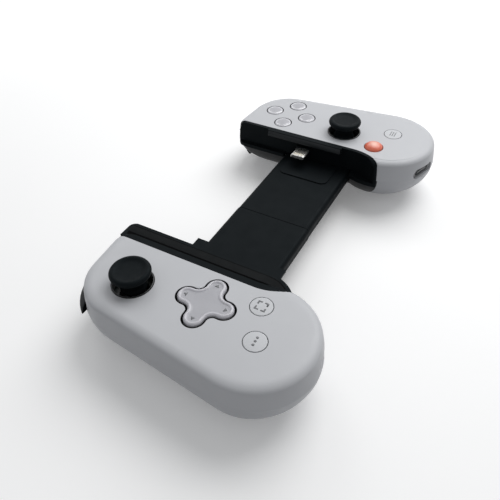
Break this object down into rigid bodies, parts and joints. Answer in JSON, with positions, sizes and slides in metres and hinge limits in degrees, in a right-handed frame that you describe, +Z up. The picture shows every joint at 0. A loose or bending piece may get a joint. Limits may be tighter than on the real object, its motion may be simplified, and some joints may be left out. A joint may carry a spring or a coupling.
{
  "type": "mobile game controller",
  "caption": "Clip-on game controller for a phone: two rounded grips with sticks and buttons, joined by a bridge that slides open to hold the phone between sprung cradles.",
  "frame": {"origin": "bottom centre of the whole object, closed and lying on its back", "axes": "+X along the bridge to the right grip, +Y to the shoulder buttons, +Z up out of the button face"},
  "size_m": [0.176, 0.0958, 0.0339],
  "materials": {
    "shell": "fine matte moulded plastic",
    "black_plastic": "satin black plastic",
    "stick_rubber": "soft-touch black rubber",
    "well_ring": "gloss black plastic",
    "clear_button": "clear moulded plastic",
    "home_orange": "translucent orange plastic",
    "shell_button": "matte moulded plastic",
    "inner_plastic": "plain moulded plastic",
    "board": "coated circuit board",
    "membrane": "moulded silicone sheet",
    "steel": "plain steel",
    "plug_metal": "plated plug",
    "cable": "flat flexible cable"
  },
  "bodies": {
    "right_grip": {"right_front_shell": "shell", "right_back_shell": "shell", "right_cradle": "black_plastic", "right_stick_well": "well_ring", "right_stick_module": "inner_plastic", "right_circuit_board": "board", "right_button_membrane": "membrane", "phone_plug": "plug_metal", "plug_block": "inner_plastic", "charging_port": "black_plastic", "right_case_screws": "steel", "right_bridge_cover": "black_plastic", "right_bridge_back": "black_plastic", "right_trigger_pin": "steel", "right_trigger_spring": "steel"},
    "left_grip": {"left_front_shell": "shell", "left_back_shell": "shell", "left_cradle": "black_plastic", "left_stick_well": "well_ring", "left_stick_module": "inner_plastic", "left_circuit_board": "board", "left_button_membrane": "membrane", "dpad_base": "inner_plastic", "headphone_jack": "black_plastic", "left_case_screws": "steel", "left_bridge_cover": "black_plastic", "left_bridge_back": "black_plastic", "left_trigger_pin": "steel", "left_trigger_spring": "steel"},
    "bridge_core": {"bridge_core": "black_plastic", "flex_cable": "cable", "right_return_spring": "steel", "left_return_spring": "steel"},
    "right_stick_frame": {"right_stick_frame": "inner_plastic"},
    "right_stick_gimbal": {"right_stick_gimbal": "inner_plastic"},
    "right_stick": {"right_stick_shaft": "steel", "right_stick_cap": "stick_rubber"},
    "left_stick_frame": {"left_stick_frame": "inner_plastic"},
    "left_stick_gimbal": {"left_stick_gimbal": "inner_plastic"},
    "left_stick": {"left_stick_shaft": "steel", "left_stick_cap": "stick_rubber"},
    "dpad_pivot": {"dpad_pivot": "steel"},
    "dpad": {"dpad": "clear_button"},
    "face_button_north": {"face_button_north": "clear_button"},
    "face_button_east": {"face_button_east": "clear_button"},
    "face_button_south": {"face_button_south": "clear_button"},
    "face_button_west": {"face_button_west": "clear_button"},
    "home_button": {"home_button": "home_orange"},
    "menu_button": {"menu_button": "shell_button"},
    "capture_button": {"capture_button": "shell_button"},
    "options_button": {"options_button": "shell_button"},
    "right_bumper": {"right_bumper": "black_plastic"},
    "left_bumper": {"left_bumper": "black_plastic"},
    "right_trigger": {"right_trigger": "black_plastic"},
    "left_trigger": {"left_trigger": "black_plastic"}
  },
  "joints": [
    {"name": "bridge_right_slide", "type": "slide", "parent": "right_grip", "child": "bridge_core", "axis": [-1, 0, 0], "range_m": [0, 0.0375], "stiffness_N_per_m": 60, "springref_m": -0.02, "deforming": ["right_return_spring"]},
    {"name": "bridge_left_slide", "type": "slide", "parent": "bridge_core", "child": "left_grip", "axis": [-1, 0, 0], "range_m": [0, 0.0375], "stiffness_N_per_m": 60, "springref_m": -0.02, "deforming": ["left_return_spring"]},
    {"name": "right_stick_press", "type": "slide", "parent": "right_grip", "child": "right_stick_frame", "axis": [0, 0, -1], "range_m": [0, 0.0004], "stiffness_N_per_m": 1500, "springref_m": -0.0003},
    {"name": "right_stick_tilt_y", "type": "hinge", "parent": "right_stick_frame", "child": "right_stick_gimbal", "pos_m": [0.0601, -0.0053, 0.0175], "axis": [1, 0, 0], "range_deg": [-11, 11], "stiffness_Nm_per_rad": 0.02},
    {"name": "right_stick_tilt_x", "type": "hinge", "parent": "right_stick_gimbal", "child": "right_stick", "pos_m": [0.0601, -0.0053, 0.0175], "axis": [0, 1, 0], "range_deg": [-11, 11], "stiffness_Nm_per_rad": 0.02},
    {"name": "right_bumper_press", "type": "slide", "parent": "right_grip", "child": "right_bumper", "axis": [0, -1, 0], "range_m": [0, 0.001], "stiffness_N_per_m": 500, "springref_m": -0.0003},
    {"name": "right_trigger_pull", "type": "hinge", "parent": "right_grip", "child": "right_trigger", "pos_m": [0.061, 0.0374, 0.0135], "axis": [-1, 0, 0], "range_deg": [0, 16], "stiffness_Nm_per_rad": 0.05, "springref_deg": -8.59},
    {"name": "left_stick_press", "type": "slide", "parent": "left_grip", "child": "left_stick_frame", "axis": [0, 0, -1], "range_m": [0, 0.0004], "stiffness_N_per_m": 1500, "springref_m": -0.0003},
    {"name": "left_stick_tilt_y", "type": "hinge", "parent": "left_stick_frame", "child": "left_stick_gimbal", "pos_m": [-0.0657, 0.024, 0.0175], "axis": [1, 0, 0], "range_deg": [-11, 11], "stiffness_Nm_per_rad": 0.02},
    {"name": "left_stick_tilt_x", "type": "hinge", "parent": "left_stick_gimbal", "child": "left_stick", "pos_m": [-0.0657, 0.024, 0.0175], "axis": [0, 1, 0], "range_deg": [-11, 11], "stiffness_Nm_per_rad": 0.02},
    {"name": "left_bumper_press", "type": "slide", "parent": "left_grip", "child": "left_bumper", "axis": [0, -1, 0], "range_m": [0, 0.001], "stiffness_N_per_m": 500, "springref_m": -0.0003},
    {"name": "left_trigger_pull", "type": "hinge", "parent": "left_grip", "child": "left_trigger", "pos_m": [-0.061, 0.0374, 0.0135], "axis": [-1, 0, 0], "range_deg": [0, 16], "stiffness_Nm_per_rad": 0.05, "springref_deg": -8.59},
    {"name": "face_button_north_press", "type": "slide", "parent": "right_grip", "child": "face_button_north", "axis": [0, 0, -1], "range_m": [0, 0.0008], "stiffness_N_per_m": 400, "springref_m": -0.0002},
    {"name": "face_button_east_press", "type": "slide", "parent": "right_grip", "child": "face_button_east", "axis": [0, 0, -1], "range_m": [0, 0.0008], "stiffness_N_per_m": 400, "springref_m": -0.0002},
    {"name": "face_button_south_press", "type": "slide", "parent": "right_grip", "child": "face_button_south", "axis": [0, 0, -1], "range_m": [0, 0.0008], "stiffness_N_per_m": 400, "springref_m": -0.0002},
    {"name": "face_button_west_press", "type": "slide", "parent": "right_grip", "child": "face_button_west", "axis": [0, 0, -1], "range_m": [0, 0.0008], "stiffness_N_per_m": 400, "springref_m": -0.0002},
    {"name": "home_button_press", "type": "slide", "parent": "right_grip", "child": "home_button", "axis": [0, 0, -1], "range_m": [0, 0.0006], "stiffness_N_per_m": 400, "springref_m": -0.0002},
    {"name": "menu_button_press", "type": "slide", "parent": "right_grip", "child": "menu_button", "axis": [0, 0, -1], "range_m": [0, 0.0006], "stiffness_N_per_m": 400, "springref_m": -0.0002},
    {"name": "capture_button_press", "type": "slide", "parent": "left_grip", "child": "capture_button", "axis": [0, 0, -1], "range_m": [0, 0.0006], "stiffness_N_per_m": 400, "springref_m": -0.0002},
    {"name": "options_button_press", "type": "slide", "parent": "left_grip", "child": "options_button", "axis": [0, 0, -1], "range_m": [0, 0.0006], "stiffness_N_per_m": 400, "springref_m": -0.0002},
    {"name": "dpad_rock_y", "type": "hinge", "parent": "left_grip", "child": "dpad_pivot", "pos_m": [-0.0619, -0.0041, 0.0246], "axis": [1, 0, 0], "range_deg": [-4, 4], "stiffness_Nm_per_rad": 0.1},
    {"name": "dpad_rock_x", "type": "hinge", "parent": "dpad_pivot", "child": "dpad", "pos_m": [-0.0619, -0.0041, 0.0246], "axis": [0, 1, 0], "range_deg": [-4, 4], "stiffness_Nm_per_rad": 0.1}
  ],
  "couplings": [
    {"joint": "bridge_left_slide", "follows": "bridge_right_slide", "ratio": 1}
  ]
}
